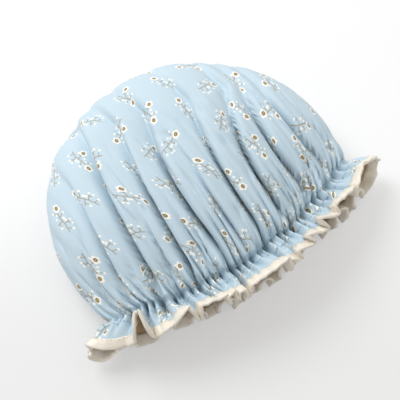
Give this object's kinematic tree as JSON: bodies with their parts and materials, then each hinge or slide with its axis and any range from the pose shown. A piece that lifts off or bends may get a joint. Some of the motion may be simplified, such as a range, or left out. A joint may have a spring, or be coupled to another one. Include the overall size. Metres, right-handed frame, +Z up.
{
  "type": "shower cap",
  "caption": "Lined shower cap of printed cotton lying on its side: puffed crown gathered by a cased elastic, with a frill bound in cream satin round its mouth.",
  "frame": {"origin": "on the table under the middle of the cap's bounding box", "axes": "+X along the mouth from corner to corner, +Y from the mouth to the crown's tip, +Z up from the table"},
  "size_m": [0.3096, 0.242, 0.0831],
  "materials": {
    "printed_cotton": "light blue woven cotton with a small floral print",
    "cream_lining": "cream coated satin, soft sheen",
    "elastic": "white braided elastic",
    "satin_binding": "cream satin bias tape",
    "blue_thread": "light blue sewing thread",
    "cream_thread": "cream sewing thread"
  },
  "bodies": {
    "root": {"outer_shell": "printed_cotton", "lining": "cream_lining", "elastic_band": "elastic", "edge_binding": "satin_binding", "casing_needle_thread_upper": "blue_thread", "casing_bobbin_thread_upper": "cream_thread", "casing_needle_thread_lower": "blue_thread", "casing_bobbin_thread_lower": "cream_thread", "binding_needle_thread": "cream_thread", "binding_bobbin_thread": "cream_thread"}
  },
  "joints": []
}
